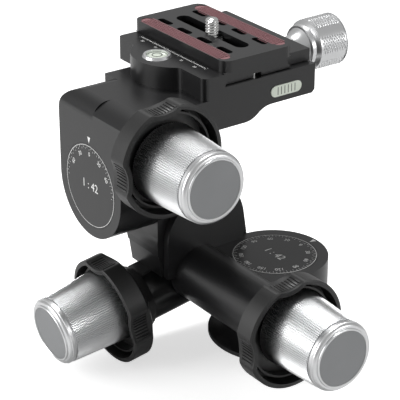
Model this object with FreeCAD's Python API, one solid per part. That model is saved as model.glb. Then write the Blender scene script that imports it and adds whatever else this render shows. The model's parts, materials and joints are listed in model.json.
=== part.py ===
import FreeCAD, Part
import math
import os

os.makedirs("parts", exist_ok=True)

# Geared tripod head with three worm-driven stages: pan, tilt and level.
# Millimetres. Origin on the pan axis at the underside of the foot, +Z up,
# +X towards the pan and level knobs, -Y towards the level dial and the tilt knob.

# Worm drive, the same in all three stages
gear_module = 0.9
wheel_teeth = 42
pressure_angle = 20.0
tooth_addendum = 0.6
tooth_dedendum = 0.75
flank_play = 0.13
wheel_width = 7.0
wheel_hub_radius = 12.0
worm_pitch_radius = 5.3
worm_thread_length = 11.3
worm_core_front = 12.5
worm_core_back = 11.5
eccentric_offset = 2.4
mesh_angle = 25.0
running_play = 0.05
seat_play = 0.3

# Eccentric sleeve, its bushes and the journals of the worm
sleeve_radius = 10.0
sleeve_back = 20.0
sleeve_bore_radius = 6.5
rear_bush_radius = 5.0
rear_journal_radius = 3.0
front_journal_radius = 3.5
front_bush_length = 20.0

# Stage housing: a round drum with the worm tube beside it
drum_radius = 24.2
drum_depth = 24.0
tube_radius = 13.2
tube_depth = 10.3
tube_front = 30.0
tube_back = 24.2
cavity_radius = 20.1
cavity_floor = 16.3
dial_radius = 19.4
dial_thickness = 2.0
spindle_radius = 9.0
spindle_spigot_radius = 7.0
spindle_spigot_length = 3.0
drum_bush_radius = 11.0
drum_bush_flange_radius = 12.5
drum_bush_flange = 1.0
washer_thickness = 0.3
washer_radius = 16.0

# Release collar with two finger scallops
collar_radius = 25.2
collar_hub_radius = 14.4
collar_cone_end = 36.0
collar_cone_radius = 17.6
collar_rim_start = 39.0
collar_floor = 41.5
collar_front = 49.0
collar_wall = 2.1
scallop_radius = 15.0
scallop_depth = 2.8
scallop_round = 3.0
collar_inner_ring_radius = 21.2
collar_inner_ring_wall = 0.9
collar_inner_ring_front = 46.0
spring_pocket_radius = 12.3
spring_pocket_end = 35.6
spring_inner_radius = 10.4
spring_wall = 0.8
spring_width = 4.0
spring_gap = 3.0

# Knob on the worm
knob_back = 42.3
knob_front = 77.2
knob_back_radius = 17.6
knob_knurl_front = 72.6
knob_knurl_front_radius = 15.9
knob_groove_depth = 0.5
knob_groove_width = 0.6
knob_cap_ring_radius = 15.7
knob_edge = 1.5
knob_lip_radius = 13.5
knob_face_radius = 12.6
knob_face_recess = 0.3
knob_face_thickness = 1.5
knob_bore_depth = 17.0
knob_screw_radius = 2.0
knob_screw_head_radius = 3.6
knob_screw_head = 3.0

# Foot and its tripod thread, 3/8 inch with 16 turns to the inch
foot_radius = 30.0
foot_rim = 2.4
foot_neck_radius = 17.5
foot_neck_start = 9.0
tripod_bush_radius = 8.0
tripod_bush_length = 10.0
tripod_thread_radius = 3.97

# Places of the three stages
pan_dial_height = 39.4
tilt_axis_y = -22.4
tilt_axis_z = 47.0
tilt_lean = 8.7
ear_back_x = -25.0
ear_thickness = 3.6
ear_radius = 21.0
level_axis_x = -41.6
level_axis_z = 76.7
level_boss_y = -46.4
level_boss_thickness = 8.0
level_boss_radius = 21.0

# Level housing shoulder and the arm below the clamp
shoulder_round = 10.8
face_round = 7.5
flat_end_x = -38.0
arm_right_x = -11.7
arm_low_z = 101.6
arm_high_z = 107.0
arm_step_start_y = -9.0
arm_step_end_y = 6.0
arm_back_y = 30.2

# Clamp and plate
plate_length = 70.0
plate_width = 38.0
plate_left_x = -82.0
plate_front_y = -20.0
plate_top_z = 132.0
plate_slab = 5.4
plate_corner = 4.5
plate_bottom_gap = 0.25
dovetail_neck = 3.2
dovetail_lip = 1.7
dovetail_foot = 0.9
dovetail_slope = 1.5
jaw_play = 0.15
clamp_height = 10.3
clamp_front_margin = 10.8
clamp_left_inset = 3.0
clamp_right_overhang = 0.3
lobe_radius = 20.6
lobe_centre = 34.5
lobe_round = 3.0
jaw_length = 62.0
jaw_back_y = 30.2
jaw_pin_radius = 1.5
jaw_pin_spacing = 13.0
jaw_pin_length = 16.0
clamp_screw_radius = 2.0
clamp_screw_length = 22.0
jaw_lug_width = 19.0
jaw_lug_depth = 6.4
jaw_lug_lift = 0.6
clamp_knob_x = -37.0
clamp_knob_z = 118.4
clamp_neck_radius = 6.0
clamp_neck_length = 5.0
clamp_cone_radius = 10.5
clamp_cone_length = 10.0
clamp_barrel_radius = 12.2
clamp_barrel_length = 16.5
clamp_barrel_edge = 1.5
screw_slot_width = 6.9
screw_slot_length = 50.0
small_slot_width = 3.4
small_slot_length = 9.5
small_slot_row = 9.6
small_slot_spacing = 15.0
rubber_width = 5.6
rubber_depth = 0.6
rubber_row = 15.0
rubber_margin = 3.0
camera_screw_radius = 3.1
camera_screw_rise = 6.5
camera_neck_radius = 2.6
camera_neck_rise = 0.3
camera_screw_head_radius = 5.4
camera_screw_head = 2.4
camera_screw_x = 0.0
stop_pin_radius = 1.9
stop_pin_rise = 1.6
stop_pin_inset = 5.5
stop_slot_length = 24.0

# Levels
bubble_ring_radius = 6.6
bubble_lens_radius = 5.0
bubble_depth = 4.5
bubble_ring_rise = 1.0
bubble_y_inset = 10.5
vial_length = 17.0
vial_radius = 2.6
vial_y = 13.8
vial_z = 112.4
vial_reach = 3.2
vial_proud = 0.4

vec = FreeCAD.Vector
parts = {}

wheel_pitch_radius = gear_module * wheel_teeth / 2
thread_pitch = math.pi * gear_module
mesh_y = eccentric_offset * math.cos(math.radians(mesh_angle))
mesh_z = eccentric_offset * math.sin(math.radians(mesh_angle))
tube_distance = wheel_pitch_radius + worm_pitch_radius + mesh_y
tube_bore_radius = sleeve_radius + running_play
wheel_tip_radius = wheel_pitch_radius + tooth_addendum
window_half = math.sqrt(wheel_tip_radius ** 2 - (tube_distance - sleeve_radius) ** 2) + 1.0


# Small shape helpers

def cylinder(radius, start, end, axis="z", at=(0, 0)):
    """Solid cylinder between two positions along an axis; at gives the other two coordinates."""
    place = {"x": vec(start, at[0], at[1]), "y": vec(at[0], start, at[1]), "z": vec(at[0], at[1], start)}
    along = {"x": vec(1, 0, 0), "y": vec(0, 1, 0), "z": vec(0, 0, 1)}
    return Part.makeCylinder(radius, end - start, place[axis], along[axis])


def box(low, high):
    """Solid box between two corners."""
    return Part.makeBox(high[0] - low[0], high[1] - low[1], high[2] - low[2], vec(*low))


def turned(points, axis="x", at=(0, 0)):
    """Solid of revolution from (position along axis, radius) points."""
    if axis == "x":
        corners = [vec(along, at[0] + radius, at[1]) for along, radius in points]
        centre, direction = vec(0, at[0], at[1]), vec(1, 0, 0)
    elif axis == "y":
        corners = [vec(at[0] + radius, along, at[1]) for along, radius in points]
        centre, direction = vec(at[0], 0, at[1]), vec(0, 1, 0)
    else:
        corners = [vec(at[0] + radius, at[1], along) for along, radius in points]
        centre, direction = vec(at[0], at[1], 0), vec(0, 0, 1)
    face = Part.Face(Part.makePolygon(corners + corners[:1]))
    return face.revolve(centre, direction, 360)


def slot(length, width, low, high, centre):
    """Round-ended slot along X, standing between two heights."""
    half = length / 2 - width / 2
    body = box((centre[0] - half, centre[1] - width / 2, low), (centre[0] + half, centre[1] + width / 2, high))
    for end in (-half, half):
        body = body.fuse(cylinder(width / 2, low, high, "z", (centre[0] + end, centre[1])))
    return body.removeSplitter()


def frame(origin, x_axis, y_axis, z_axis):
    """Placement that takes local axes to the given ones."""
    rows = [(x_axis[i], y_axis[i], z_axis[i], origin[i]) for i in range(3)]
    values = [value for row in rows for value in row]
    return FreeCAD.Placement(FreeCAD.Matrix(*values, 0, 0, 0, 1))


def put(name, shape, placement=None):
    """Keep a finished piece under its node name."""
    placed = shape.copy()
    if placement is not None:
        placed.Placement = placement.multiply(placed.Placement)
    parts[name] = placed


# Stage frames: local Z leaves the dial, the worm tube lies at local -Y.
# side is +1 where the knob is at local +X and -1 where it is at local -X.
lean = math.radians(tilt_lean)
tilt_dial_x = ear_back_x - washer_thickness - drum_depth
level_dial_y = level_boss_y - washer_thickness - drum_depth
stages = {
    "pan": {
        "place": frame((0, 0, pan_dial_height), (1, 0, 0), (0, 1, 0), (0, 0, 1)),
        "side": 1, "tube_back": -ear_back_x, "scallops": (97, 186)},
    "tilt": {
        "place": frame((tilt_dial_x, tilt_axis_y, tilt_axis_z), (0, -math.cos(lean), -math.sin(lean)),
                       (0, -math.sin(lean), math.cos(lean)), (-1, 0, 0)),
        "side": 1, "tube_back": tube_back, "scallops": (5, 272)},
    "level": {
        "place": frame((level_axis_x, level_dial_y, level_axis_z), (-1, 0, 0), (0, 0, -1), (0, -1, 0)),
        "side": -1, "tube_back": level_axis_x - flat_end_x, "scallops": (187, 276)},
}


def drive_frame(stage):
    """Frame of a stage's worm drive: X out to the knob, Y towards the wheel, on the tube's axis."""
    side = stage["side"]
    local = frame((0, -tube_distance, -tube_depth), (side, 0, 0), (0, 1, 0), (0, 0, side))
    return stage["place"].multiply(local)


# Worm wheel: involute teeth that lean with the worm's thread

def involute_point(radius, half_angle_at_pitch):
    """Point on the left flank of a tooth that stands on +Y."""
    base = wheel_pitch_radius * math.cos(math.radians(pressure_angle))

    def spread(r):
        pressure = math.acos(base / r)
        return math.tan(pressure) - pressure

    angle = half_angle_at_pitch + spread(wheel_pitch_radius) - spread(radius)
    return angle, radius


def wheel_outline(height, turn):
    """Closed wire through all teeth; a gap faces -Y when turn is zero."""
    half_tooth = math.pi / wheel_teeth / 2 - flank_play / 2 / wheel_pitch_radius
    root = involute_point(wheel_pitch_radius - tooth_dedendum, half_tooth)
    tip = involute_point(wheel_tip_radius, half_tooth)
    corners = []
    for tooth in range(wheel_teeth):
        middle = -math.pi / 2 + (tooth + 0.5) * 2 * math.pi / wheel_teeth + turn
        for angle, radius in ((-root[0], root[1]), (-tip[0], tip[1]), tip, root):
            corners.append(vec(radius * math.cos(middle + angle), radius * math.sin(middle + angle), height))
    return Part.makePolygon(corners + corners[:1])


def worm_wheel(middle):
    """Wheel centred on a height, with a hub that reaches down to the bush."""
    low = middle - wheel_width / 2
    high = middle + wheel_width / 2
    lead_slope = thread_pitch / (2 * math.pi * worm_pitch_radius)
    turn = lead_slope * wheel_width / 2 / wheel_pitch_radius
    teeth = Part.makeLoft([wheel_outline(low, -turn), wheel_outline(high, turn)], True, True)
    hub_low = -cavity_floor + drum_bush_flange + running_play
    body = teeth.fuse(cylinder(wheel_hub_radius, hub_low, low + 0.5))
    return body.cut(cylinder(spindle_radius, hub_low - 1, high + 1))


# Parts of one worm drive, in its drive frame

def worm():
    """Worm with a helical thread and its two journals."""
    root = worm_pitch_radius - tooth_dedendum
    tip = worm_pitch_radius + tooth_addendum
    slope = math.tan(math.radians(pressure_angle))
    half = thread_pitch / 4 - flank_play / 2
    sunk = 0.25
    half_root = half + (tooth_dedendum + sunk) * slope
    half_tip = half - tooth_addendum * slope
    turns = math.ceil(worm_thread_length / thread_pitch / 2) * 2
    start = -turns / 2 * thread_pitch
    helix = Part.makeHelix(thread_pitch, turns * thread_pitch, worm_pitch_radius)
    inner = root - sunk
    profile = Part.makePolygon([vec(inner, 0, -half_root), vec(tip, 0, -half_tip), vec(tip, 0, half_tip),
                                vec(inner, 0, half_root), vec(inner, 0, -half_root)])
    thread = Part.Wire(helix).makePipeShell([profile], True, True)
    limit = cylinder(tip + 1, -worm_thread_length / 2, worm_thread_length / 2)
    core = cylinder(root, -worm_core_back, worm_core_front)
    thread.translate(vec(0, 0, start))
    body = core.fuse(thread.common(limit))
    # the helix stands on Z; turn it onto X so that the thread at +Y sits at x = 0
    body.rotate(vec(0, 0, 0), vec(0, 1, 0), 90)
    body.rotate(vec(0, 0, 0), vec(1, 0, 0), 90)
    journal = turned([(-sleeve_back + 1, 0), (-sleeve_back + 1, rear_journal_radius),
                      (-worm_core_back, rear_journal_radius), (-worm_core_back, root - 0.5),
                      (worm_core_front, root - 0.5), (worm_core_front, front_journal_radius),
                      (knob_back + knob_bore_depth, front_journal_radius), (knob_back + knob_bore_depth, 0)])
    return body.fuse(journal)


def eccentric_sleeve():
    """Sleeve that turns in the tube and carries the worm off its own axis."""
    body = cylinder(sleeve_radius, -sleeve_back, spring_pocket_end + 1.4, "x")
    centre = (mesh_y, mesh_z)
    body = body.cut(cylinder(sleeve_bore_radius, -window_half, spring_pocket_end + 2, "x", centre))
    body = body.cut(cylinder(rear_bush_radius, -sleeve_back - 1, -window_half + 1, "x", centre))
    window = box((-window_half, 0, -sleeve_radius - 1), (window_half, sleeve_radius + 1, sleeve_radius + 1))
    return body.cut(window)


def worm_bushes():
    """Rear and front bronze bushes of the worm, two separate solids."""
    centre = (mesh_y, mesh_z)
    rear = cylinder(rear_bush_radius, -sleeve_back, -window_half, "x", centre)
    rear = rear.cut(cylinder(rear_journal_radius + running_play, -sleeve_back - 1, 0, "x", centre))
    front_start = spring_pocket_end - front_bush_length
    front = cylinder(sleeve_bore_radius, front_start, spring_pocket_end, "x", centre)
    front = front.cut(cylinder(front_journal_radius + running_play, front_start - 1, knob_back, "x", centre))
    return Part.makeCompound([rear, front])


def collar_outline(radius, grow, low, high, angles):
    """Round plate with two scallops; grow widens the scallop circles inwards."""
    body = cylinder(radius, low, high, "x")
    for angle in angles:
        reach = collar_radius + scallop_radius - scallop_depth
        centre = (reach * math.cos(math.radians(angle)), reach * math.sin(math.radians(angle)))
        body = body.cut(cylinder(scallop_radius + grow, low - 1, high + 1, "x", centre))
    return body


def rounded_along_x(shape, radius, low, high, reach):
    """Fillet the straight edges along X that lie beyond a distance from the axis."""
    edges = []
    for edge in shape.Edges:
        if len(edge.Vertexes) == 2:
            a, b = edge.Vertexes[0].Point, edge.Vertexes[1].Point
            along = abs(a.x - b.x) > (high - low) * 0.9
            if along and math.hypot(a.y, a.z) > reach and math.hypot(a.y - b.y, a.z - b.z) < 1e-4:
                edges.append(edge)
    return shape.makeFillet(radius, edges)


def release_collar(angles):
    """Cup-shaped collar: cone behind, deep rim in front, scallops for the fingers."""
    rim = collar_outline(collar_radius, 0, collar_rim_start - 3, collar_front, angles)
    rim = rounded_along_x(rim, scallop_round, collar_rim_start - 3, collar_front, sleeve_radius)
    rim = rim.common(turned([(collar_rim_start - 3, 0), (collar_rim_start - 3, collar_cone_radius + 2),
                             (collar_rim_start, collar_radius - 1.2), (collar_rim_start + 1.2, collar_radius + 1),
                             (collar_front - 1.0, collar_radius + 1), (collar_front, collar_radius - 0.9),
                             (collar_front, 0)]))
    hub = turned([(tube_front + seat_play, 0), (tube_front + seat_play, collar_hub_radius),
                  (collar_cone_end, collar_cone_radius), (collar_rim_start + 1, collar_cone_radius + 3.5),
                  (collar_rim_start + 1, 0)])
    body = rim.fuse(hub)
    pocket = collar_outline(collar_radius - collar_wall, collar_wall, collar_floor, collar_front + 1, angles)
    ring = cylinder(collar_inner_ring_radius, collar_floor - 1, collar_inner_ring_front, "x")
    ring = ring.cut(cylinder(collar_inner_ring_radius - collar_inner_ring_wall, collar_floor - 2,
                             collar_front, "x"))
    ring = ring.common(pocket)
    body = body.cut(pocket).fuse(ring)
    body = body.cut(cylinder(sleeve_radius, tube_front, spring_pocket_end + 1.4, "x"))
    body = body.cut(cylinder(spring_pocket_radius, tube_front, spring_pocket_end, "x"))
    return body.cut(cylinder(sleeve_bore_radius, tube_front, collar_front, "x", (mesh_y, mesh_z)))


def return_spring():
    """Split ring of flat wire that turns the collar back into mesh."""
    low = tube_front + 2 * seat_play
    band = cylinder(spring_inner_radius + spring_wall, low, low + spring_width, "x")
    band = band.cut(cylinder(spring_inner_radius, low - 1, low + spring_width + 1, "x"))
    gap = box((low - 1, 0, -spring_gap / 2), (low + spring_width + 1, collar_radius, spring_gap / 2))
    return band.cut(gap)


def knob():
    """Tapered knob with a groove, a smooth cap ring and a recessed face."""
    face_seat = knob_front - knob_face_recess - knob_face_thickness
    groove = knob_knurl_front + knob_groove_width
    body = turned([(knob_back, 0), (knob_back, knob_back_radius - 0.8), (knob_back + 0.8, knob_back_radius),
                   (knob_knurl_front, knob_knurl_front_radius),
                   (knob_knurl_front, knob_knurl_front_radius - knob_groove_depth),
                   (groove, knob_knurl_front_radius - knob_groove_depth),
                   (groove, knob_cap_ring_radius), (knob_front - knob_edge - 0.6, knob_cap_ring_radius),
                   (knob_front - 1.1, knob_cap_ring_radius - 0.45),
                   (knob_front - 0.6, knob_cap_ring_radius - knob_edge),
                   (knob_front - 0.6, knob_lip_radius), (knob_front, knob_lip_radius - 0.1),
                   (knob_front, knob_face_radius), (face_seat, knob_face_radius), (face_seat, 0)])
    body = body.cut(cylinder(front_journal_radius, knob_back - 1, knob_back + knob_bore_depth, "x"))
    body = body.cut(cylinder(knob_screw_radius, knob_back, face_seat + 1, "x"))
    return body.cut(cylinder(knob_screw_head_radius, face_seat - knob_screw_head, face_seat + 1, "x"))


def knob_face():
    """Plain disc that closes the front of the knob."""
    return cylinder(knob_face_radius, knob_front - knob_face_recess - knob_face_thickness,
                    knob_front - knob_face_recess, "x")


def knob_screw():
    """Cap screw that draws the knob onto the worm."""
    seat = knob_front - knob_face_recess - knob_face_thickness - knob_screw_head
    shank = cylinder(knob_screw_radius, knob_back + knob_bore_depth, seat, "x")
    return shank.fuse(cylinder(knob_screw_head_radius, seat, seat + knob_screw_head, "x")).removeSplitter()


# The stages share their inner parts

def housing_bores(stage):
    """Everything that is cut out of a stage's housing, in the stage frame."""
    side = stage["side"]
    cavity = cylinder(cavity_radius, -cavity_floor, -dial_thickness - 1.2)
    cavity = cavity.fuse(cylinder(dial_radius + 2 * running_play, -cavity_floor, 1))
    cavity = cavity.fuse(cylinder(drum_bush_radius, -drum_depth - 1, 0))
    back = sleeve_back + seat_play
    bore = cylinder(tube_bore_radius, -back, tube_front + 1, "x", (-tube_distance, -tube_depth))
    if side < 0:
        bore = cylinder(tube_bore_radius, -tube_front - 1, back, "x", (-tube_distance, -tube_depth))
    return cavity.fuse(bore)


def drum_and_tube(stage):
    """Outer form of a stage's housing: drum, tangent cheeks and worm tube."""
    side = stage["side"]
    drum = cylinder(drum_radius, -drum_depth, 0)
    cheeks = box((-drum_radius, -tube_distance, -drum_depth), (drum_radius, 0, 0))
    ends = sorted((-side * stage["tube_back"], side * tube_front))
    tube = cylinder(tube_radius, ends[0], ends[1], "x", (-tube_distance, -tube_depth))
    return drum, cheeks, tube


for stage_name, stage in stages.items():
    place = stage["place"]
    wheel_middle = -tube_depth + stage["side"] * mesh_z
    spindle_top = -dial_thickness - 2.0
    spindle = cylinder(spindle_radius, -drum_depth - washer_thickness, spindle_top)
    spigot_low = -drum_depth - washer_thickness - spindle_spigot_length
    spindle = spindle.fuse(cylinder(spindle_spigot_radius, spigot_low, -drum_depth)).removeSplitter()
    put(stage_name + "_spindle", spindle, place)
    put(stage_name + "_wheel", worm_wheel(wheel_middle), place)
    dial = cylinder(dial_radius, -dial_thickness, 0).fuse(cylinder(spindle_radius, spindle_top, -dial_thickness))
    put(stage_name + "_dial", dial.removeSplitter(), place)
    washer = cylinder(washer_radius, -drum_depth - washer_thickness, -drum_depth - running_play)
    put(stage_name + "_thrust_washer", washer.cut(spindle), place)
    bush = cylinder(drum_bush_radius, -drum_depth, -cavity_floor)
    bush = bush.fuse(cylinder(drum_bush_flange_radius, -cavity_floor, -cavity_floor + drum_bush_flange))
    bush = bush.cut(cylinder(spindle_radius + running_play, -drum_depth - 1, 0)).removeSplitter()
    put(stage_name + "_drum_bush", bush, place)

    drive = drive_frame(stage)
    on_worm = drive.multiply(FreeCAD.Placement(vec(0, mesh_y, mesh_z), FreeCAD.Rotation()))
    put(stage_name + "_worm", worm(), on_worm)
    put(stage_name + "_knob", knob(), on_worm)
    put(stage_name + "_knob_face", knob_face(), on_worm)
    put(stage_name + "_knob_screw", knob_screw(), on_worm)
    put(stage_name + "_eccentric_sleeve", eccentric_sleeve(), drive)
    put(stage_name + "_worm_bushes", worm_bushes(), drive)
    put(stage_name + "_release_collar", release_collar(stage["scallops"]), drive)
    put(stage_name + "_return_spring", return_spring(), drive)


def moved(shape, placement):
    """Copy of a shape in the object's frame."""
    placed = shape.copy()
    placed.Placement = placement.multiply(placed.Placement)
    return placed


# Foot: flared disc with a thin rim, and the threaded bush that the tripod's stud enters
foot_top = pan_dial_height - drum_depth - washer_thickness
curve_mid = vec(foot_neck_radius + 4.2, 0, foot_rim + 2.4)
flare_edge = Part.Arc(vec(foot_radius, 0, foot_rim), curve_mid, vec(foot_neck_radius, 0, foot_neck_start)).toShape()
foot_points = [vec(foot_neck_radius, 0, foot_neck_start), vec(foot_neck_radius, 0, foot_top),
               vec(0, 0, foot_top), vec(0, 0, 0), vec(foot_radius - 0.6, 0, 0), vec(foot_radius, 0, 0.6),
               vec(foot_radius, 0, foot_rim)]
foot_wire = Part.Wire([flare_edge] + Part.makePolygon(foot_points).Edges)
foot = Part.Face(foot_wire).revolve(vec(0, 0, 0), vec(0, 0, 1), 360)
foot = foot.cut(cylinder(tripod_bush_radius, -1, tripod_bush_length))
foot = foot.cut(cylinder(spindle_spigot_radius, foot_top - spindle_spigot_length, foot_top + 1))
put("base_foot", foot)
bush = cylinder(tripod_bush_radius, 0, tripod_bush_length)
put("tripod_bush", bush.cut(cylinder(tripod_thread_radius, -1, tripod_bush_length + 1)))

# Pan housing: drum, tube and the upright ear that carries the tilt stage
pan = stages["pan"]
drum, cheeks, tube = drum_and_tube(pan)
pan_local = drum.fuse(cheeks).fuse(tube)
pan_body = moved(pan_local, pan["place"])
tube_y = -tube_distance
tube_z = pan_dial_height - tube_depth
ear_front_x = ear_back_x + ear_thickness
ear = cylinder(ear_radius, ear_back_x, ear_front_x, "x", (tilt_axis_y, tilt_axis_z))
ear_foot = box((ear_back_x, tilt_axis_y - ear_radius, tube_z), (ear_front_x, tilt_axis_y + ear_radius, tilt_axis_z))
low_edge = pan_dial_height - drum_depth
gusset = box((ear_front_x - 0.1, tube_y, low_edge), (0, tilt_axis_y + ear_radius, pan_dial_height - 3))
gusset = gusset.common(cylinder(drum_radius, low_edge, pan_dial_height))
ear_foot = ear_foot.cut(box((ear_back_x - 1, tilt_axis_y - ear_radius - 1, tube_z - 1),
                            (0, tube_y - tube_radius + 0.2, tube_z + 1)))
pan_body = pan_body.fuse(ear).fuse(ear_foot).fuse(gusset)
pan_body = pan_body.cut(moved(housing_bores(pan), pan["place"]))
spigot = cylinder(spindle_spigot_radius, -drum_depth - washer_thickness - spindle_spigot_length, 0)
pan_body = pan_body.cut(moved(spigot, stages["tilt"]["place"]))
put("pan_housing", pan_body)

# Tilt housing: drum, tube with a flat rib, and the boss that carries the level stage
tilt = stages["tilt"]
drum, cheeks, tube = drum_and_tube(tilt)
cheeks = cheeks.cut(box((0, -tube_distance - 1, -drum_depth - 1), (drum_radius + 1, -drum_radius * 0.55, 1)))
rib = box((4, -tube_distance, -tube_depth - 5.0), (tube_front, -tube_distance + tube_radius + 0.5, -tube_depth + 5.0))
tilt_body = moved(drum.fuse(cheeks).fuse(tube).fuse(rib), tilt["place"])
boss_back_y = level_boss_y + level_boss_thickness
boss = cylinder(level_boss_radius, level_boss_y, boss_back_y, "y", (level_axis_x, level_axis_z))
drum_right_x = ear_back_x - washer_thickness
neck_low_z = tilt_axis_z - 6
neck_bend_z = tilt_axis_z + 12
neck_points = [vec(tilt_dial_x, level_boss_y, neck_low_z), vec(drum_right_x, level_boss_y, neck_low_z),
               vec(drum_right_x, level_boss_y, neck_bend_z),
               vec(level_axis_x + level_boss_radius * 0.94, level_boss_y, level_axis_z - 7),
               vec(level_axis_x - level_boss_radius * 0.94, level_boss_y, level_axis_z - 7)]
neck_face = Part.Face(Part.makePolygon(neck_points + neck_points[:1]))
neck = neck_face.extrude(vec(0, level_boss_thickness, 0))
ear_room = cylinder(ear_radius + seat_play, drum_right_x, ear_front_x + 5, "x", (tilt_axis_y, tilt_axis_z))
tilt_body = tilt_body.fuse(boss.fuse(neck).cut(ear_room))
tilt_body = tilt_body.cut(moved(housing_bores(tilt), tilt["place"]))
tilt_body = tilt_body.cut(moved(spigot, stages["level"]["place"]))
put("tilt_housing", tilt_body)

# Level housing: the shoulder round the worm tube and the arm below the clamp
level = stages["level"]
drum, cheeks, tube = drum_and_tube(level)
top_y = tube_distance + tube_radius
shell = box((level_axis_x - drum_radius, level_dial_y + tube_depth, level_axis_z),
            (level_axis_x + drum_radius, level_dial_y + drum_depth, level_axis_z + top_y))
level_body = moved(drum.fuse(cheeks).fuse(tube), level["place"]).fuse(shell)
arm_left_x = level_axis_x - drum_radius
arm_top_z = level_axis_z + top_y

# The face is flat beside the dial; its left end is square behind and rounds over at the top
flat_end = box((arm_left_x, level_dial_y, level_axis_z),
               (flat_end_x, level_dial_y + tube_depth, arm_top_z))
top_front_edges = []
for edge in flat_end.Edges:
    a, b = edge.Vertexes[0].Point, edge.Vertexes[1].Point
    if abs(a.x - b.x) > 1 and max(a.y, b.y) < level_dial_y + 0.01 and min(a.z, b.z) > arm_top_z - 0.01:
        top_front_edges.append(edge)
flat_end = flat_end.makeFillet(face_round, top_front_edges)
before_face = box((arm_left_x - 1, level_dial_y - tube_radius, level_axis_z),
                  (level_axis_x + tube_front + 1, level_dial_y, arm_top_z + 1))
level_body = level_body.fuse(flat_end).cut(before_face)

# Arm below the clamp, with a step up behind the collar
step_mid_y = (arm_step_start_y + arm_step_end_y) / 2
step_mid_z = (arm_low_z + arm_high_z) / 2
quarter_y = (arm_step_end_y - arm_step_start_y) / 4
bend = (arm_high_z - arm_low_z) * 0.11
arm_start_y = level_dial_y + drum_depth - 1


def at_arm(y, z):
    """Point on the arm's left side."""
    return vec(arm_left_x, y, z)


rise_low = Part.Arc(at_arm(arm_step_start_y, arm_low_z),
                    at_arm(arm_step_start_y + quarter_y, arm_low_z + bend), at_arm(step_mid_y, step_mid_z))
rise_high = Part.Arc(at_arm(step_mid_y, step_mid_z),
                     at_arm(arm_step_end_y - quarter_y, arm_high_z - bend), at_arm(arm_step_end_y, arm_high_z))
arm_outer = [at_arm(arm_step_end_y, arm_high_z), at_arm(arm_back_y - 1.5, arm_high_z),
             at_arm(arm_back_y, arm_high_z + 1.5), at_arm(arm_back_y, arm_top_z),
             at_arm(arm_start_y, arm_top_z), at_arm(arm_start_y, arm_low_z),
             at_arm(arm_step_start_y, arm_low_z)]
arm_wire = Part.Wire([rise_low.toShape(), rise_high.toShape()] + Part.makePolygon(arm_outer).Edges)
arm = Part.Face(arm_wire).extrude(vec(arm_right_x - arm_left_x, 0, 0))
level_body = level_body.fuse(arm)
corner_size = shoulder_round
corner = box((arm_left_x - 1, level_dial_y - 10, arm_top_z - corner_size),
             (arm_left_x + corner_size, level_dial_y + drum_depth + 0.5, arm_top_z + 1))
corner = corner.cut(cylinder(corner_size, level_dial_y - 11, level_dial_y + drum_depth + 2, "y",
                             (arm_left_x + corner_size, arm_top_z - corner_size)))
level_body = level_body.cut(corner)
level_body = level_body.cut(moved(housing_bores(level), level["place"]))

# Clamp base: bed, fixed jaw and the lobe for the round level
plate_right_x = plate_left_x + plate_length
plate_middle_x = (plate_left_x + plate_right_x) / 2
plate_middle_y = plate_front_y + plate_width / 2
plate_back_y = plate_front_y + plate_width
clamp_low_z = arm_top_z
clamp_top_z = clamp_low_z + clamp_height
clamp_left_x = plate_left_x + clamp_left_inset
clamp_right_x = plate_right_x + clamp_right_overhang
clamp_front_y = plate_front_y - clamp_front_margin
plate_bottom_z = (plate_top_z - plate_slab - dovetail_lip - dovetail_neck + dovetail_lip
                  - dovetail_slope - dovetail_foot)
channel_floor_z = plate_bottom_z - plate_bottom_gap
half_plate = plate_width / 2
lip_low = plate_bottom_z + dovetail_foot
lip_high = lip_low + dovetail_slope
neck_high = plate_top_z - plate_slab - dovetail_lip
half_neck = half_plate - dovetail_slope - 0.6
half_foot = half_neck + dovetail_slope


def side_wedge(sign, play):
    """Section of one dovetail side in the YZ plane, as y and z pairs."""
    base = plate_middle_y
    return [(base + sign * (half_foot + play), channel_floor_z), (base + sign * (half_foot + play), lip_low),
            (base + sign * (half_neck + play), lip_high), (base + sign * (half_neck + play), neck_high),
            (base + sign * (half_neck + play + dovetail_lip), neck_high + dovetail_lip)]


def prism(points, low_x, high_x):
    """Solid with a YZ section, from one X to another."""
    corners = [vec(low_x, y, z) for y, z in points]
    return Part.Face(Part.makePolygon(corners + corners[:1])).extrude(vec(high_x - low_x, 0, 0))


bed = box((clamp_left_x, clamp_front_y, clamp_low_z), (clamp_right_x, arm_back_y, clamp_top_z))
lobe_x = plate_left_x + lobe_centre
lobe = cylinder(lobe_radius, clamp_low_z, clamp_top_z, "z", (lobe_x, plate_front_y))
lobe_front = box((lobe_x - 2 * lobe_radius, plate_front_y - 2 * lobe_radius, clamp_low_z),
                 (lobe_x + 2 * lobe_radius, plate_front_y, clamp_top_z))
clamp = bed.fuse(lobe.common(lobe_front))
clamp = clamp.removeSplitter()
seam_edges = []
for edge in clamp.Edges:
    if len(edge.Vertexes) == 2:
        a, b = edge.Vertexes[0].Point, edge.Vertexes[1].Point
        upright = abs(abs(a.z - b.z) - clamp_height) < 1e-4 and math.hypot(a.x - b.x, a.y - b.y) < 1e-4
        if upright and abs(a.y - clamp_front_y) < 0.01:
            seam_edges.append(edge)
clamp = clamp.makeFillet(lobe_round, seam_edges)
left_side = side_wedge(-1, jaw_play)
channel = [(plate_middle_y, channel_floor_z)] + left_side
channel = channel + [(left_side[-1][0], clamp_top_z + 1), (plate_middle_y, clamp_top_z + 1)]
clamp = clamp.cut(prism(channel, clamp_left_x - 1, clamp_right_x + 1))
clamp = clamp.cut(box((clamp_left_x - 1, plate_middle_y - 1, channel_floor_z),
                      (clamp_right_x + 1, arm_back_y + 1, clamp_top_z + 1)))

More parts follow.
